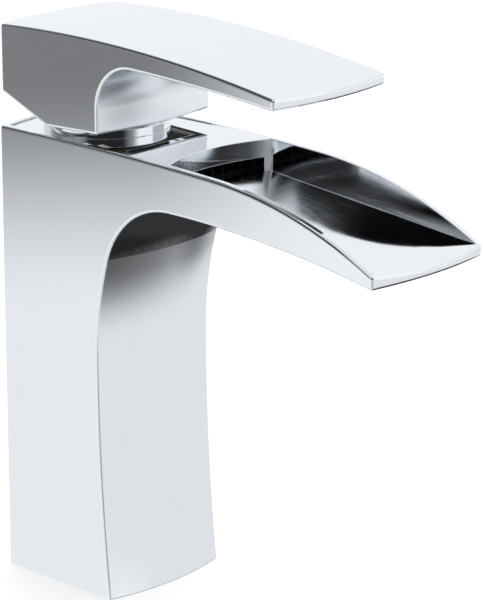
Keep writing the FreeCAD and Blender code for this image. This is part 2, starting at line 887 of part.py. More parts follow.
def make_spindle_carriage():
    """The turning spindle: a channel guides the disc carrier, a slot lets the lever tilt."""
    spindle = piece("spindle_carriage", seat)
    flange_level = size.housing_ledge - 2 * size.seat_gap - size.flange_thickness
    flange = sketch_on(spindle, "XY_Plane", flange_level)
    circle(flange, 0, 0, size.housing_bore - size.turning_gap)
    pad(spindle, flange, size.flange_thickness)
    neck = sketch_on(spindle, "XY_Plane", flange_level)
    circle(neck, 0, 0, size.spindle_radius)
    pad(spindle, neck, size.spindle_height - flange_level)

    block_top = carrier_level - seat + size.carrier_thickness + size.carrier_block_rise
    channel_top = block_top + size.turning_gap
    half_channel = size.carrier_block_width / 2 + size.seat_gap
    channel = sketch_on(spindle, "YZ_Plane")
    outline(channel, box_corners(-half_channel, flange_level - 1, half_channel, channel_top))
    pocket(spindle, channel, symmetric=True)
    slot = sketch_on(spindle, "XZ_Plane")
    above_neck = size.spindle_height + 1
    outline(slot, box_corners(-size.stem_slot_rear, channel_top, size.stem_slot_front, above_neck))
    pocket(spindle, slot, size.stem_width + 2 * size.seat_gap, symmetric=True)

    tab = sketch_on(spindle, "XY_Plane", size.housing_height + size.turning_gap)
    half_tab = size.limit_tab_width / 2
    outline(tab, box_corners(-size.limit_tab_radius, -half_tab, 1 - size.spindle_radius, half_tab))
    pad(spindle, tab, size.limit_tab_height)
    pin_hole = sketch_on(spindle, "XZ_Plane")
    circle(pin_hole, 0, size.pivot_rise, size.pin_radius + size.running_gap)
    pocket(spindle, pin_hole, symmetric=True)


def make_pivot_pin():
    pin = piece("pivot_pin", pivot)
    section = sketch_on(pin, "XZ_Plane")
    circle(section, 0, 0, size.pin_radius)
    pad(pin, section, size.pin_length, symmetric=True)


# Lever.


def make_lever_stem():
    """The square stem with its hub on the pin, and the arm that ends in a ball."""
    stem = piece("lever_stem", pivot)
    half_stem = size.stem_width / 2
    hub = sketch_on(stem, "XZ_Plane")
    circle(hub, 0, 0, size.hub_radius)
    pad(stem, hub, size.stem_width - 2 * size.seat_gap, symmetric=True)
    shank = sketch_on(stem, "XY_Plane")
    outline(shank, box_corners(-half_stem, -half_stem, half_stem, half_stem))
    pad(stem, shank, size.stem_top)
    arm = sketch_on(stem, "XY_Plane")
    across, up = size.arm_thickness / 2, size.arm_width / 2
    outline(arm, box_corners(-across, -up, across, up))
    pad(stem, arm, size.arm_length, reverse=True)
    ball = stem.newObject("PartDesign::AdditiveSphere", "lever_stem_ball")
    ball.AttachmentSupport = [(origin_item(stem, "XY_Plane"), "")]
    ball.MapMode = "FlatFace"
    ball.AttachmentOffset = FreeCAD.Placement(FreeCAD.Vector(0, 0, -size.arm_length.value), FreeCAD.Rotation())
    ball.Radius = size.ball_radius.value
    bind(ball, "AttachmentOffset.Base.z", -size.arm_length)
    bind(ball, "Radius", size.ball_radius)
    pin_hole = sketch_on(stem, "XZ_Plane")
    circle(pin_hole, 0, 0, size.pin_radius + size.running_gap)
    pocket(stem, pin_hole, symmetric=True)


def paddle_height(across):
    """Height of the handle's crowned top at one distance from the axis."""
    run = across - size.paddle_crest
    return size.paddle_rise - size.paddle_radius + root(size.paddle_radius * size.paddle_radius - run * run)


def grip_height(across):
    """Height of the paddle's arched underside at one distance from the axis."""
    run = across - size.grip_crest
    return size.grip_rise - size.grip_radius + root(size.grip_radius * size.grip_radius - run * run)


def grip_corners(beyond_tip):
    """Side outline of everything in front of the handle's block and under its paddle."""
    inner = size.grip_radius - size.block_throat
    throat_across = size.block_reach + size.block_throat
    run = throat_across - size.grip_crest
    depth = root(inner * inner - run * run)
    centre_up = size.grip_rise - size.grip_radius
    share = size.grip_radius / inner
    return [
        (size.block_reach, 0),
        (size.block_reach, centre_up + depth, "right", size.block_throat),
        (size.grip_crest + run * share, centre_up + depth * share, "right", size.grip_radius),
        (beyond_tip, grip_height(beyond_tip)),
        (beyond_tip, 0),
    ]


def make_handle():
    handle = piece("handle", pivot)
    beyond_tip = size.tip_reach + size.tip_bow + 1
    beyond_rear = size.handle_rear + size.handle_rear_bow + 1
    plan = sketch_on(handle, "XY_Plane", size.block_rise)
    rear = (size.handle_rear, size.handle_rear_bow)
    outline(plan, bowed_plan(*rear, size.tip_reach, size.tip_bow, half_width))
    pad(handle, plan, size.paddle_rise - size.block_rise)

    swept_cut(handle, grip_corners(beyond_tip), size.block_bow)
    crown = sketch_on(handle, "XZ_Plane")
    outline(
        crown,
        [
            (-beyond_rear, paddle_height(-beyond_rear), "right", size.paddle_radius),
            (beyond_tip, paddle_height(beyond_tip)),
            (beyond_tip, size.paddle_rise + 1),
            (-beyond_rear, size.paddle_rise + 1),
        ],
    )
    pocket(handle, crown, symmetric=True)
    heel_slope = (size.heel_rise - size.block_rise) / (size.handle_rear - size.heel_reach)
    heel = sketch_on(handle, "XZ_Plane")
    outline(
        heel,
        [
            (-beyond_rear, size.heel_rise + (size.handle_rear_bow + 1) * heel_slope),
            (-size.heel_reach, size.block_rise),
            (size.block_reach, size.block_front_rise),
            (size.tip_reach, size.block_front_rise),
            (size.tip_reach, 0),
            (-beyond_rear, 0),
        ],
    )
    pocket(handle, heel, symmetric=True)
    round_edges(handle, size.edge_round, above=0)

    across = half_width - size.handle_wall
    cavity = sketch_on(handle, "XY_Plane")
    low, high = size.handle_rear_wall - size.handle_rear, size.block_reach - size.handle_front_wall
    outline(cavity, box_corners(low, -across, high, across))
    pocket(handle, cavity, size.cavity_rise, reverse=True)
    boss = sketch_on(handle, "XY_Plane", size.socket_rise)
    circle(boss, 0, 0, size.socket_radius)
    pad(handle, boss, size.cavity_rise - size.socket_rise)
    half_socket = (size.bush_width + size.seat_gap) / 2
    socket = sketch_on(handle, "XY_Plane", size.socket_rise)
    outline(socket, box_corners(-half_socket, -half_socket, half_socket, half_socket))
    pocket(handle, socket, size.stem_top - size.socket_rise + size.seat_gap, reverse=True)

    back = size.handle_rear + size.handle_rear_bow
    for radius, depth in (
        (size.screw_radius, back - half_socket),
        (size.plug_radius - 0.5, back - size.socket_radius - 1),
        (size.plug_radius, size.plug_thickness + size.seat_gap),
    ):
        hole = sketch_on(handle, "YZ_Plane", -back)
        circle(hole, 0, size.screw_rise, radius)
        pocket(handle, hole, depth, reverse=True)


def make_stem_bush():
    bush = piece("stem_bush", pivot)
    outer, inner = size.bush_width / 2, (size.stem_width + size.seat_gap) / 2
    plan = sketch_on(bush, "XY_Plane", size.socket_rise)
    for reach in (outer, inner):
        outline(plan, box_corners(-reach, -reach, reach, reach))
    pad(bush, plan, size.stem_top - size.socket_rise)
    hole = sketch_on(bush, "YZ_Plane", -outer)
    circle(hole, 0, size.screw_rise, size.screw_radius + size.seat_gap)
    pocket(bush, hole, outer - inner + 0.5, reverse=True)


def make_grub_screw():
    screw = piece("grub_screw", pivot)
    face = sketch_on(screw, "YZ_Plane", -size.stem_width / 2)
    circle(face, 0, size.screw_rise, size.screw_radius - size.seat_gap)
    pad(screw, face, size.screw_length, reverse=True)
    key = sketch_on(screw, "YZ_Plane", -size.stem_width / 2 - size.screw_length)
    corner = size.key_width / math.sqrt(3)
    turns = [math.radians(60 * number) for number in range(6)]
    outline(key, [(corner * math.cos(turn), size.screw_rise + corner * math.sin(turn)) for turn in turns])
    pocket(screw, key, size.key_width, reverse=True)


def make_screw_plug():
    plug = piece("screw_plug", pivot)
    face = sketch_on(plug, "YZ_Plane", size.seat_gap - size.handle_rear - size.handle_rear_bow)
    circle(face, 0, size.screw_rise, size.plug_radius - size.seat_gap)
    pad(plug, face, size.plug_thickness)


make_faucet_body()
make_base_gasket()
make_flow_straightener()
make_cartridge_base()
make_seals("port_seals", seat, riser_ports())
make_seals("disc_seals", disc_level - size.seal_height, disc_ports())
make_fixed_disc()
make_cartridge_housing()
ring_radius = size.chamber_radius - size.ring_section - size.seat_gap / 2
make_o_ring("housing_o_ring", ring_radius, size.ring_section, seat + size.ring_rise)
make_retaining_nut()
make_limit_ring()
make_dome_collar()
ring_radius = size.nut_thread_radius - size.collar_ring_section - size.seat_gap / 2
make_o_ring("collar_o_ring", ring_radius, size.collar_ring_section, deck - size.collar_ring_drop)
make_spindle_carriage()
make_pivot_pin()
make_moving_disc()
make_disc_carrier()
make_lever_stem()
make_handle()
make_stem_bush()
make_grub_screw()
make_screw_plug()

doc.recompute()
failed = [item.Name for item in doc.Objects if "Invalid" in item.State or "Error" in item.State]
if failed:
    raise RuntimeError(f"these did not build: {failed}")
for feature in doc.Objects:
    base = getattr(feature, "BaseFeature", None)
    if base and feature.isDerivedFrom("PartDesign::Feature"):
        if abs(feature.Shape.Volume - base.Shape.Volume) < 0.001:
            raise RuntimeError(f"{feature.Name} changes nothing")

os.makedirs("parts", exist_ok=True)
for node in doc.Objects:
    if node.isDerivedFrom("PartDesign::Body") or node.isDerivedFrom("Part::Torus"):
        shape = node.Shape
        if shape.isNull() or not shape.isValid():
            raise RuntimeError(f"{node.Label} is not sound")
        shape.exportStep(f"parts/{node.Label}.step")
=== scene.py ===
"""Waterfall basin faucet: the finishes of its castings, cartridge and seals, and the studio it stands in."""

import math
from typing import NamedTuple

import bmesh
import bpy
from bpy.props import FloatProperty, FloatVectorProperty, PointerProperty
from bpy.types import Operator, Panel, PropertyGroup
from mathutils import Matrix

bl_info = {
    "name": "Waterfall basin faucet",
    "version": (1, 0, 0),
    "blender": (4, 5, 0),
    "location": "3D View > Sidebar > Faucet",
    "description": "Chrome, brass, ceramic and rubber finishes for a single-lever waterfall faucet",
    "category": "Object",
}

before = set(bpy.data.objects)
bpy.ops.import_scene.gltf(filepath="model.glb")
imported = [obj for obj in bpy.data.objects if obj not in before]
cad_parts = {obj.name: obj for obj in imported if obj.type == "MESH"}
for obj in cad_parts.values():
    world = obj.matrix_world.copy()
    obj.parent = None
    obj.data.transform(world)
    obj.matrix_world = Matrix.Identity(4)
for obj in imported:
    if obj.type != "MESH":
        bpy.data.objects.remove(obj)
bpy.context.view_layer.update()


# ---------------------------------------------------------------- node helpers


class Graph:
    """A node tree that is written as sums instead of node by node."""

    NODES_PER_ROW = 12
    NODE_WIDTH = 180
    NODE_HEIGHT = 220

    def __init__(self, tree):
        self.tree = tree
        tree.nodes.clear()
        self.count = 0

    def add(self, kind, inputs=None, **settings):
        """A new node to the right of the last one, with its inputs and settings."""
        item = self.tree.nodes.new(kind)
        row, column = divmod(self.count, self.NODES_PER_ROW)
        item.location = (self.NODE_WIDTH * column, -self.NODE_HEIGHT * row)
        self.count += 1
        for name, value in settings.items():
            setattr(item, name, value)
        for name, value in (inputs or {}).items():
            self.feed(item.inputs[name], value)
        return item

    def feed(self, socket, value):
        """Link another node's output to the socket, or set its plain value."""
        if isinstance(value, bpy.types.NodeSocket):
            self.tree.links.new(value, socket)
        else:
            socket.default_value = value

    def math(self, operation, *values):
        """One operation on the values."""
        item = self.add("ShaderNodeMath", operation=operation)
        for socket, value in zip(item.inputs, values):
            self.feed(socket, value)
        return item.outputs[0]

    def product(self, first, *others):
        """All the values multiplied."""
        for other in others:
            first = self.math("MULTIPLY", first, other)
        return first

    def ramp(self, value, low, high, start=0.0, end=1.0):
        """A soft step from start to end while value goes from low to high."""
        band = {"Value": value, "From Min": low, "From Max": high, "To Min": start, "To Max": end}
        return self.add("ShaderNodeMapRange", band, interpolation_type="SMOOTHSTEP").outputs["Result"]

    def between(self, value, low, high, soft):
        """1 between low and high, fading out over soft on either side."""
        rise = self.ramp(value, low - soft, low + soft)
        fall = self.ramp(value, high - soft, high + soft, 1.0, 0.0)
        return self.product(rise, fall)

    def blend(self, factor, first, second):
        """Mix two numbers."""
        item = self.add("ShaderNodeMix", data_type="FLOAT")
        for index, value in ((0, factor), (2, first), (3, second)):
            self.feed(item.inputs[index], value)
        return item.outputs[0]

    def tint(self, factor, first, second):
        """Mix two colours."""
        item = self.add("ShaderNodeMix", data_type="RGBA")
        self.feed(item.inputs[0], factor)
        for index, value in ((6, first), (7, second)):
            linked = isinstance(value, bpy.types.NodeSocket)
            self.feed(item.inputs[index], value if linked else (*value[:3], 1.0))
        return item.outputs[2]

    def noise(self, vector, per_metre, detail=2.0, roughness=0.5):
        """Cloudy noise with about that many lumps to the metre."""
        settings = {"Vector": vector, "Scale": per_metre, "Detail": detail, "Roughness": roughness}
        return self.add("ShaderNodeTexNoise", settings).outputs["Fac"]

    def stretched(self, vector, scale, turn=(0.0, 0.0, 0.0)):
        """Coordinates turned and scaled; a scale below 1 draws a pattern out along that axis."""
        settings = {"Vector": vector, "Rotation": turn, "Scale": scale}
        return self.add("ShaderNodeMapping", settings).outputs["Vector"]

    def parts_of(self, vector):
        """The x, y and z of a vector."""
        item = self.add("ShaderNodeSeparateXYZ", {"Vector": vector})
        return item.outputs[0], item.outputs[1], item.outputs[2]

    def facing(self):
        """The x, y and z of the surface's normal."""
        return self.parts_of(self.add("ShaderNodeNewGeometry").outputs["Normal"])

    def radius(self, x, y):
        """Distance from the axis through x = 0 and y = 0."""
        return self.math("SQRT", self.math("ADD", self.product(x, x), self.product(y, y)))

    def rings(self, reach, pitch):
        """A wave that repeats at every pitch of reach."""
        return self.math("SINE", self.product(reach, 2.0 * math.pi / pitch))

    def relief(self, height, depth, normal=None):
        """A bump of that depth in metres, over the given normal."""
        item = self.add("ShaderNodeBump", {"Height": height, "Strength": 1.0, "Distance": depth})
        if normal is not None:
            self.feed(item.inputs["Normal"], normal)
        return item.outputs["Normal"]


def finish_named(name):
    """An empty node material with its surface shader, its graph and its Object coordinates."""
    material = bpy.data.materials.new(name)
    material.use_nodes = True
    graph = Graph(material.node_tree)
    shader = graph.add("ShaderNodeBsdfPrincipled")
    output = graph.add("ShaderNodeOutputMaterial")
    graph.tree.links.new(shader.outputs["BSDF"], output.inputs["Surface"])
    place = graph.add("ShaderNodeTexCoord").outputs["Object"]
    return material, graph, shader, place


def dress(material, *node_names):
    """Give CAD nodes a finish in place of the plain one they are packed with."""
    for node_name in node_names:
        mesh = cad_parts[node_name].data
        for index in range(len(mesh.materials)):
            mesh.materials[index] = material


def shaded(tone, share):
    """A colour at that share of its brightness."""
    return tuple(min(1.0, share * part) for part in tone)


# ---------------------------------------------------------------- chrome and what it leaves bare

# Places on the castings, in metres. The cavity's ends and its sides are limits, softened by its fade;
# every other pair is a band over which one finish fades into the next.
CHAMBER_WALL = (0.01762, 0.0178)
CHAMBER_MOUTH = (0.1352, 0.1358)
CAVITY_ENDS = (-0.0177, 0.0167)
CAVITY_SIDES = (-0.0202, 0.0202)
CAVITY_FADE = 0.0002
CAVITY_MOUTH = (0.14005, 0.1404)
CAVITY_ROOF = (0.1574, 0.1580)
TROUGH_SIDES = (0.0206, 0.0209)
TROUGH_BACK = (0.0440, 0.0450)
SPOUT_UNDERSIDE = (0.1160, 0.1165)
BRUSHED_END = (0.074, 0.100)
BLOCK_FRONT = (0.0180, 0.0190)
PADDLE_ROOT = (0.030, 0.060)
BLOCK_UNDERSIDE = (0.1405, 0.1410)

# The same for the share of a normal that points up, or across the faucet.
FACING_DOWN = (-0.5, -0.4)
FACING_UP = (0.3, 0.5)
FACING_ACROSS = (0.7, 0.9)

# Roughness that the satin regions add to that of the polish, where 1 is matt.
BRUSHED_ROUGHNESS = 0.115
FAINT_ROUGHNESS = 0.02
CORNER_ROUGHNESS = 0.3

# Radius that the polishing wears the edges to, and depths of the cast grain and the hairlines, in metres.
WORN_EDGE_RADIUS = 0.00035
CAST_GRAIN_DEPTH = 0.00018
HAIRLINE_DEPTH = 0.00000008


def mirror_chrome(name, tone, raw_tone, raw_region, shy_region):
    """Polished chrome plate.

    raw_region masks the unplated inside, and shy_region gives the roughness of what the buffing wheel
    barely reaches.
    """
    material, graph, shader, place = finish_named(name)
    x, y, z = graph.parts_of(place)
    raw = raw_region(graph, x, y, z)
    shy = shy_region(graph, x, y, z)
    cloud = graph.noise(place, per_metre=60.0, detail=3.0)
    grain = graph.noise(place, per_metre=2600.0, detail=4.0, roughness=0.65)
    haze = graph.noise(place, per_metre=420.0, detail=5.0, roughness=0.7)
    plate = graph.tint(cloud, shaded(tone, 0.975), tone)
    skin = graph.tint(grain, shaded(raw_tone, 0.62), raw_tone)
    graph.feed(shader.inputs["Base Color"], graph.tint(raw, plate, skin))
    polish = graph.math("ADD", graph.ramp(haze, 0.45, 0.8, start=0.02, end=0.035), shy)
    cast = graph.ramp(grain, 0.3, 0.7, start=0.34, end=0.55)
    graph.feed(shader.inputs["Roughness"], graph.blend(raw, polish, cast))
    shader.inputs["Metallic"].default_value = 1.0
    corner = graph.add("ShaderNodeBevel", {"Radius": WORN_EDGE_RADIUS}, samples=6).outputs["Normal"]
    rough_cast = graph.relief(graph.product(raw, grain), CAST_GRAIN_DEPTH, corner)
    along_strokes = graph.stretched(place, (1.0, 0.14, 1.0), turn=(0.3, 0.2, 0.5))
    hairlines = graph.noise(along_strokes, per_metre=5200.0)
    graph.feed(shader.inputs["Normal"], graph.relief(hairlines, HAIRLINE_DEPTH, rough_cast))
    return material


def body_inside(graph, x, y, z):
    """The cartridge chamber, the risers and the cored foot, which the plating leaves bare."""
    core = graph.ramp(graph.radius(x, y), *CHAMBER_WALL, 1.0, 0.0)
    below_deck = graph.ramp(z, *CHAMBER_MOUTH, 1.0, 0.0)
    return graph.product(core, below_deck)


def handle_inside(graph, x, y, z):
    """The cavity in the handle's block, a wall's thickness in from the plated skin."""
    along = graph.between(x, *CAVITY_ENDS, CAVITY_FADE)
    across = graph.between(y, *CAVITY_SIDES, CAVITY_FADE)
    below_roof = graph.ramp(z, *CAVITY_ROOF, 1.0, 0.0)
    above_mouth = graph.ramp(z, *CAVITY_MOUTH)
    return graph.product(along, across, below_roof, above_mouth)


def trough_hollow(graph, x, y, z):
    """The trough between its rims, brushed along the way that the water runs."""
    upward = graph.facing()[2]
    between_sides = graph.ramp(graph.math("ABSOLUTE", y), *TROUGH_SIDES, 1.0, 0.0)
    ahead = graph.ramp(x, *TROUGH_BACK)
    above = graph.ramp(z, *SPOUT_UNDERSIDE)
    not_downward = graph.ramp(upward, *FACING_DOWN)
    place = graph.add("ShaderNodeCombineXYZ", {"X": x, "Y": y, "Z": z}).outputs[0]
    along_water = graph.stretched(place, (0.08, 1.0, 1.0))
    streak = graph.noise(along_water, per_metre=1600.0, detail=3.0, roughness=0.6)
    uneven = graph.ramp(streak, 0.3, 0.7, start=0.75, end=1.25)
    brushed = graph.ramp(x, *BRUSHED_END, BRUSHED_ROUGHNESS, FAINT_ROUGHNESS)
    return graph.product(between_sides, ahead, above, not_downward, uneven, brushed)


def under_paddle(graph, x, y, z):
    """The front of the block, the corner where it runs into the paddle, and the block's underside."""
    across, upward = graph.facing()[1:]
    off_flanks = graph.ramp(graph.math("ABSOLUTE", across), *FACING_ACROSS, 1.0, 0.0)
    off_top = graph.ramp(upward, *FACING_UP, 1.0, 0.0)
    corner = graph.product(graph.ramp(x, *BLOCK_FRONT), graph.ramp(x, *PADDLE_ROOT, CORNER_ROUGHNESS, 0.0))
    underside = graph.ramp(z, *BLOCK_UNDERSIDE, FAINT_ROUGHNESS, 0.0)
    return graph.product(off_flanks, off_top, graph.math("MAXIMUM", corner, underside))


def nowhere(graph, x, y, z):
    """No such region: the piece is plated and polished all over."""
    return 0.0


# ---------------------------------------------------------------- the other finishes


def turned_metal(name, tone, pitch, shine):
    """Bare metal with the fine rings that a lathe tool leaves, round the upright axis."""
    material, graph, shader, place = finish_named(name)
    x, y, z = graph.parts_of(place)
    tool_path = graph.math("ADD", graph.radius(x, y), z)
    stain = graph.noise(place, per_metre=180.0, detail=4.0)
    wear = graph.noise(place, per_metre=1500.0, detail=3.0, roughness=0.6)
    graph.feed(shader.inputs["Base Color"], graph.tint(stain, shaded(tone, 0.72), tone))
    graph.feed(shader.inputs["Roughness"], graph.ramp(wear, 0.3, 0.7, start=shine, end=shine + 0.16))
    shader.inputs["Metallic"].default_value = 1.0
    graph.feed(shader.inputs["Normal"], graph.relief(graph.rings(tool_path, pitch), depth=0.00001))
    return material


def soft_rubber(name, tone):
    """Matt rubber with a fine pebble and a dusty bloom."""
    material, graph, shader, place = finish_named(name)
    pebble = graph.noise(place, per_metre=3800.0, detail=3.0, roughness=0.6)
    bloom = graph.ramp(graph.noise(place, per_metre=150.0, detail=4.0), 0.45, 0.75)
    graph.feed(shader.inputs["Base Color"], graph.tint(bloom, tone, shaded(tone, 2.1)))
    graph.feed(shader.inputs["Roughness"], graph.ramp(pebble, 0.3, 0.7, start=0.62, end=0.8))
    graph.feed(shader.inputs["Normal"], graph.relief(pebble, depth=0.00004))
    return material


def moulded_plastic(name, tone, shine, gloss=0.5):
    """Moulded plastic: faint flow marks, a fine spark-eroded grain and small tone changes."""
    material, graph, shader, place = finish_named(name)
    flow = graph.noise(graph.stretched(place, (1.0, 1.0, 0.25)), per_metre=220.0, detail=4.0)
    grain = graph.noise(place, per_metre=4200.0)
    graph.feed(shader.inputs["Base Color"], graph.tint(flow, shaded(tone, 0.88), tone))
    graph.feed(shader.inputs["Roughness"], graph.ramp(grain, 0.35, 0.65, start=shine, end=shine + 0.1))
    shader.inputs["Specular IOR Level"].default_value = gloss
    graph.feed(shader.inputs["Normal"], graph.relief(grain, depth=0.000012))
    return material


def lapped_ceramic(name, tone):
    """Alumina disc: even, faintly speckled, with the arcs of lapping about a point beside it."""
    lap_centre = 0.021
    lap_pitch = 0.0004
    material, graph, shader, place = finish_named(name)
    x, y = graph.parts_of(place)[:2]
    arc = graph.radius(graph.math("SUBTRACT", x, lap_centre), y)
    speck = graph.noise(place, per_metre=5200.0)
    graph.feed(shader.inputs["Base Color"], graph.tint(speck, shaded(tone, 0.93), tone))
    graph.feed(shader.inputs["Roughness"], graph.ramp(speck, 0.3, 0.7, start=0.2, end=0.3))
    graph.feed(shader.inputs["Normal"], graph.relief(graph.rings(arc, lap_pitch), depth=0.000002))
    return material


# ---------------------------------------------------------------- settings


class FaucetFinishes(PropertyGroup):
    """Colours of the faucet's metals and plastics."""

    chrome: FloatVectorProperty(
        name="Chrome", description="Tone of the polished plating",
        subtype="COLOR", min=0, max=1, default=(0.885, 0.905, 0.93),
    )
    cast_brass: FloatVectorProperty(
        name="Cast brass", description="Inside of the body where the plating stops",
        subtype="COLOR", min=0, max=1, default=(0.70, 0.52, 0.26),
    )
    cast_zinc: FloatVectorProperty(
        name="Cast zinc", description="Inside of the handle where the plating stops",
        subtype="COLOR", min=0, max=1, default=(0.50, 0.50, 0.52),
    )
    brass: FloatVectorProperty(
        name="Turned brass", description="Nut and stem",
        subtype="COLOR", min=0, max=1, default=(0.78, 0.60, 0.30),
    )
    steel: FloatVectorProperty(
        name="Steel", description="Pivot pin and grub screw",
        subtype="COLOR", min=0, max=1, default=(0.58, 0.58, 0.59),
    )
    rubber: FloatVectorProperty(
        name="Rubber", description="Gasket and seal rings",
        subtype="COLOR", min=0, max=1, default=(0.022, 0.022, 0.023),
    )
    dark_plastic: FloatVectorProperty(
        name="Dark plastic", description="Flow straightener and stem bush",
        subtype="COLOR", min=0, max=1, default=(0.006, 0.006, 0.0065),
    )
    white_plastic: FloatVectorProperty(
        name="White plastic", description="Cartridge mouldings",
        subtype="COLOR", min=0, max=1, default=(0.83, 0.83, 0.80),
    )
    red_plastic: FloatVectorProperty(
        name="Red plastic", description="Ring that limits the turn",
        subtype="COLOR", min=0, max=1, default=(0.58, 0.05, 0.035),
    )
    ceramic: FloatVectorProperty(
        name="Ceramic", description="Sealing discs",
        subtype="COLOR", min=0, max=1, default=(0.88, 0.87, 0.83),
    )


class FaucetStudio(PropertyGroup):
    """The camera and the lamp of the plain studio."""

    azimuth: FloatProperty(
        name="Azimuth", description="Turn of the camera about the faucet; zero faces its right flank",
        subtype="ANGLE", default=math.radians(43.8),
    )
    elevation: FloatProperty(
        name="Elevation", description="Height of the camera above the floor, as an angle",
        subtype="ANGLE", default=math.radians(17.172),
    )
    tilt: FloatProperty(
        name="Tilt", description="Roll of the camera", subtype="ANGLE", default=math.radians(-0.263)
    )
    distance: FloatProperty(
        name="Distance", description="Camera to the point that it turns about",
        unit="LENGTH", min=0.3, default=0.85416,
    )
    lens: FloatProperty(
        name="Lens", description="Focal length on a 36 mm frame", unit="CAMERA", min=20, default=177.17
    )
    lamp_power: FloatProperty(
        name="Lamp power", description="Power of the soft overhead lamp", unit="POWER", min=0, default=9.0
    )


# ---------------------------------------------------------------- the faucet's pieces


class FAUCET_OT_plating(Operator):
    """Plate the body, its collar, the handle and the screw plug with polished chrome"""

    bl_idname = "faucet.plating"
    bl_label = "Chrome plating"

    def execute(self, context):
        finishes = context.scene.faucet_finishes
        tone, brass, zinc = finishes.chrome, finishes.cast_brass, finishes.cast_zinc
        dress(mirror_chrome("chrome_body", tone, brass, body_inside, trough_hollow), "faucet_body")
        dress(mirror_chrome("chrome_collar", tone, brass, nowhere, nowhere), "dome_collar")
        dress(mirror_chrome("chrome_handle", tone, zinc, handle_inside, under_paddle), "handle")
        dress(mirror_chrome("chrome_plug", tone, zinc, nowhere, nowhere), "screw_plug")
        return {"FINISHED"}


class FAUCET_OT_metals(Operator):
    """Give the nut and stem turned brass, and the pin and grub screw ground steel"""

    bl_idname = "faucet.metals"
    bl_label = "Bare metals"

    def execute(self, context):
        finishes = context.scene.faucet_finishes
        brass = turned_metal("turned_brass", finishes.brass, pitch=0.00035, shine=0.2)
        steel = turned_metal("ground_steel", finishes.steel, pitch=0.00022, shine=0.26)
        dress(brass, "retaining_nut", "lever_stem")
        dress(steel, "pivot_pin", "grub_screw")
        return {"FINISHED"}


class FAUCET_OT_seals(Operator):
    """Give the gasket and the seal rings matt rubber"""

    bl_idname = "faucet.seals"
    bl_label = "Rubber seals"

    def execute(self, context):
        rubber = soft_rubber("seal_rubber", context.scene.faucet_finishes.rubber)
        dress(rubber, "base_gasket", "port_seals", "disc_seals", "housing_o_ring", "collar_o_ring")
        return {"FINISHED"}


class FAUCET_OT_plastics(Operator):
    """Give the cartridge, the straightener and the stem bush their moulded plastics"""

    bl_idname = "faucet.plastics"
    bl_label = "Moulded plastics"

    def execute(self, context):
        finishes = context.scene.faucet_finishes
        white = moulded_plastic("acetal_white", finishes.white_plastic, shine=0.3)
        dark = moulded_plastic("acetal_black", finishes.dark_plastic, shine=0.6, gloss=0.1)
        red = moulded_plastic("limit_red", finishes.red_plastic, shine=0.32)
        dress(white, "cartridge_base", "cartridge_housing", "spindle_carriage", "disc_carrier")
        dress(dark, "flow_straightener", "stem_bush")
        dress(red, "limit_ring")
        return {"FINISHED"}


class FAUCET_OT_ceramics(Operator):
    """Give the sealing discs lapped ceramic"""

    bl_idname = "faucet.ceramics"
    bl_label = "Ceramic discs"

    def execute(self, context):
        discs = lapped_ceramic("lapped_alumina", context.scene.faucet_finishes.ceramic)
        dress(discs, "fixed_disc", "moving_disc")
        return {"FINISHED"}


# ---------------------------------------------------------------- the studio

# The point that the camera turns about, and the picture's shift as a share of its longer side.
CAMERA_TARGET = (0.030, 0.0, 0.085)
CAMERA_SHIFT = (0.0990, 0.0206)
SENSOR_WIDTH = 36.0
NEAREST_SEEN = 0.01
FARTHEST_SEEN = 20.0

FLOOR_HALF_WIDTH = 6.0
FLOOR_GLOW = 0.45
PAPER_SHADE = (0.80, 0.80, 0.80)
PAPER_TONE = (0.82, 0.82, 0.82)

LAMP_WIDTH = 1.4
LAMP_PLACE = (-0.2, 0.5, 1.5)
LAMP_TILT = math.radians(-20)

# Light of the surroundings, where 1 is white: on matt pieces, and in mirrors where no board stands.
MATT_LIGHT = 0.72
BARE_ROOM_LIGHT = 0.30
WHITE = (1.0, 1.0, 1.0)
COOL_WHITE = (0.985, 1.0, 1.02)


class Board(NamedTuple):
    """A pale or dark board that the chrome mirrors.

    Its place is a compass direction, with half its width, and its lowest and highest elevation; its
    edges fade at its sides and at its ends. All of these are in degrees, and a height past 90 or -90
    carries it on over the pole. Light is what it shows, where 1 is white.
    """

    name: str
    middle: float
    half_width: float
    lowest: float
    highest: float
    side_fade: float
    end_fade: float
    light: float


# A later board stands in front of the ones before it.
BOARDS = (
    Board("pale_floor", -129, 112, -120, -15, 10, 8, 0.74),
    Board("side_window", -78, 34, 28, 60, 10, 8, 0.88),
    Board("side_card", -93, 22, -45, -3, 12, 5, 0.88),
    Board("rear_lightbox", 172, 24, -4, 26, 8, 6, 0.80),
    Board("overhead_window", 0, 181, 66, 200, 1, 6, 0.92),
    Board("front_floor", 47, 71, -30, -0.5, 20, 8.5, 0.84),
    Board("front_glow", 55, 50, -11.5, 2, 10, 2.5, 1.15),
    Board("floor_below", 60, 56, -70, -37.5, 16, 12, 0.02),
    Board("far_floor", 100, 32, -60, -29, 12, 4, 0.035),
    Board("left_floor", -140, 45, -60, -12.5, 10, 2.5, 0.91),
    Board("left_glow", -122, 9, -32, -12, 6, 3, 1.0),
    Board("front_window", 55.5, 46.5, -6, 60, 8.5, 6.5, 1.02),
    Board("window_bar", 64, 17, 11.5, 20.5, 4, 2.5, 0.5),
    Board("rear_window", 127.5, 33.5, -3, 47.5, 7, 6, 0.96),
    Board("grey_top", -165, 32, 32, 58, 5, 3.4, 0.2),
    Board("grey_wall", -141.6, 9, -14.8, 58, 2.2, 2.4, 0.22),
    Board("dark_wall", -127, 22, 18.8, 60, 4, 1.5, 0.002),
    Board("camera_wall", -46, 40, -2, 32, 12, 6, 0.02),
    Board("floor_behind", 133, 15, -23.5, -12.5, 9, 5, 0.02),
    Board("side_floor", -38, 16, -20, -10.5, 6, 4, 0.34),
)


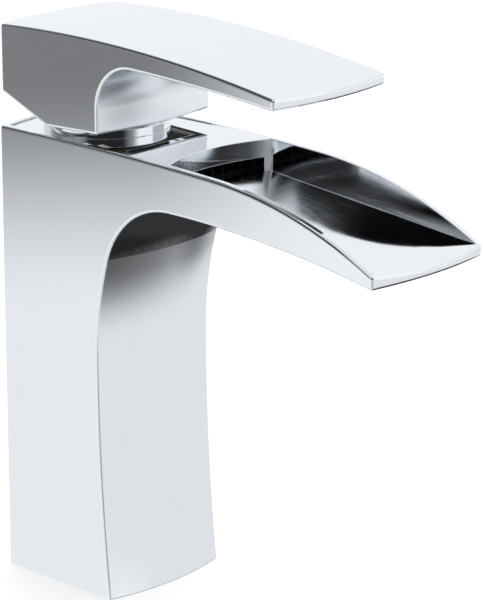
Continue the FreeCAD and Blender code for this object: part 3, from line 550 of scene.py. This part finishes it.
def add_to_scene(name, data):
    """A new object with that data, linked to the scene."""
    thing = bpy.data.objects.new(name, data)
    bpy.context.scene.collection.objects.link(thing)
    return thing


def place_camera(studio):
    """Set the camera at the photograph's viewing angle."""
    data = bpy.data.cameras.new("studio_camera")
    data.sensor_width = SENSOR_WIDTH
    data.lens = studio.lens
    data.shift_x, data.shift_y = CAMERA_SHIFT
    data.clip_start = NEAREST_SEEN
    data.clip_end = FARTHEST_SEEN
    camera = add_to_scene("studio_camera", data)
    turn = Matrix.Rotation(studio.azimuth, 4, "Z")
    rise = Matrix.Rotation(math.pi / 2 - studio.elevation, 4, "X")
    roll = Matrix.Rotation(studio.tilt, 4, "Z")
    back_off = Matrix.Translation((0.0, 0.0, studio.distance))
    camera.matrix_world = Matrix.Translation(CAMERA_TARGET) @ turn @ rise @ roll @ back_off
    bpy.context.scene.camera = camera


def floor_paper():
    """Pale paper that goes white for the camera, away from the faucet's soft shadow."""
    material, graph, shader, place = finish_named("studio_paper")
    grain = graph.noise(place, per_metre=900.0, detail=3.0)
    graph.feed(shader.inputs["Base Color"], graph.tint(grain, PAPER_SHADE, PAPER_TONE))
    shader.inputs["Roughness"].default_value = 0.9
    shader.inputs["Specular IOR Level"].default_value = 0.1
    shader.inputs["Emission Color"].default_value = (*WHITE, 1.0)
    seen = graph.add("ShaderNodeLightPath").outputs["Is Camera Ray"]
    graph.feed(shader.inputs["Emission Strength"], graph.product(seen, FLOOR_GLOW))
    return material


def lay_floor():
    """Lay the paper under the faucet, whose chrome mirrors the boards in its place."""
    shape = bmesh.new()
    bmesh.ops.create_grid(shape, x_segments=1, y_segments=1, size=FLOOR_HALF_WIDTH)
    mesh = bpy.data.meshes.new("studio_floor")
    shape.to_mesh(mesh)
    shape.free()
    mesh.materials.append(floor_paper())
    floor = add_to_scene("studio_floor", mesh)
    floor.visible_glossy = False


def hang_lamp(power):
    """One large soft lamp over the faucet, for the floor's shadow and the matt pieces."""
    data = bpy.data.lights.new("overhead_softbox", "AREA")
    data.shape = "SQUARE"
    data.size = LAMP_WIDTH
    data.energy = power
    lamp = add_to_scene("overhead_softbox", data)
    lamp.matrix_world = Matrix.Translation(LAMP_PLACE) @ Matrix.Rotation(LAMP_TILT, 4, "X")
    lamp.visible_glossy = False
    lamp.visible_camera = False


def board_mask(graph, compass, rise, board):
    """1 in the directions where the board stands, and 0 in the others."""
    turned = graph.math("WRAP", graph.math("SUBTRACT", compass, board.middle), 180.0, -180.0)
    away = graph.math("ABSOLUTE", turned)
    full, gone = board.half_width - board.side_fade, board.half_width + board.side_fade
    side = graph.ramp(away, full, gone, 1.0, 0.0)
    return graph.product(side, graph.between(rise, board.lowest, board.highest, board.end_fade))


def paint_surroundings():
    """White for the camera, an even pale light on matt pieces, and studio boards for the chrome to mirror."""
    world = bpy.data.worlds.new("studio_surroundings")
    bpy.context.scene.world = world
    world.use_nodes = True
    graph = Graph(world.node_tree)
    x, y, z = graph.parts_of(graph.add("ShaderNodeTexCoord").outputs["Generated"])
    degrees_per_radian = math.degrees(1.0)
    compass = graph.product(graph.math("ARCTAN2", y, x), degrees_per_radian)
    rise = graph.product(graph.math("ARCSINE", z), degrees_per_radian)
    light = BARE_ROOM_LIGHT
    for board in BOARDS:
        light = graph.blend(board_mask(graph, compass, rise, board), light, board.light)
        light.node.label = board.name
    path = graph.add("ShaderNodeLightPath")
    mirrored = graph.math("MAXIMUM", path.outputs["Is Glossy Ray"], path.outputs["Is Transmission Ray"])
    strength = graph.blend(path.outputs["Is Camera Ray"], graph.blend(mirrored, MATT_LIGHT, light), 1.0)
    colour = graph.tint(mirrored, WHITE, COOL_WHITE)
    sky = graph.add("ShaderNodeBackground", {"Color": colour, "Strength": strength})
    output = graph.add("ShaderNodeOutputWorld")
    graph.tree.links.new(sky.outputs[0], output.inputs["Surface"])


class FAUCET_OT_studio(Operator):
    """Lay the floor, hang the lamp, paint the surroundings and set the camera"""

    bl_idname = "faucet.studio"
    bl_label = "Studio"

    def execute(self, context):
        studio = context.scene.faucet_studio
        lay_floor()
        hang_lamp(studio.lamp_power)
        paint_surroundings()
        place_camera(studio)
        context.scene.view_settings.view_transform = "Standard"
        return {"FINISHED"}


# ---------------------------------------------------------------- panel and registration


class FAUCET_PT_panel(Panel):
    """Every piece of the faucet and its studio, in the order they are made"""

    bl_idname = "FAUCET_PT_panel"
    bl_label = "Waterfall basin faucet"
    bl_space_type = "VIEW_3D"
    bl_region_type = "UI"
    bl_category = "Faucet"

    def draw(self, context):
        layout = self.layout
        for group in (context.scene.faucet_finishes, context.scene.faucet_studio):
            box = layout.box()
            for name in group.__annotations__:
                box.prop(group, name)
        for operator in OPERATORS:
            layout.operator(operator.bl_idname)


OPERATORS = (
    FAUCET_OT_plating,
    FAUCET_OT_metals,
    FAUCET_OT_seals,
    FAUCET_OT_plastics,
    FAUCET_OT_ceramics,
    FAUCET_OT_studio,
)
CLASSES = (FaucetFinishes, FaucetStudio, *OPERATORS, FAUCET_PT_panel)


def register():
    for each in CLASSES:
        bpy.utils.register_class(each)
    bpy.types.Scene.faucet_finishes = PointerProperty(type=FaucetFinishes)
    bpy.types.Scene.faucet_studio = PointerProperty(type=FaucetStudio)


def unregister():
    del bpy.types.Scene.faucet_studio
    del bpy.types.Scene.faucet_finishes
    for each in reversed(CLASSES):
        bpy.utils.unregister_class(each)


def main():
    register()
    for operator in OPERATORS:
        getattr(bpy.ops.faucet, operator.bl_idname.split(".")[1])()


if __name__ == "__main__":
    main()
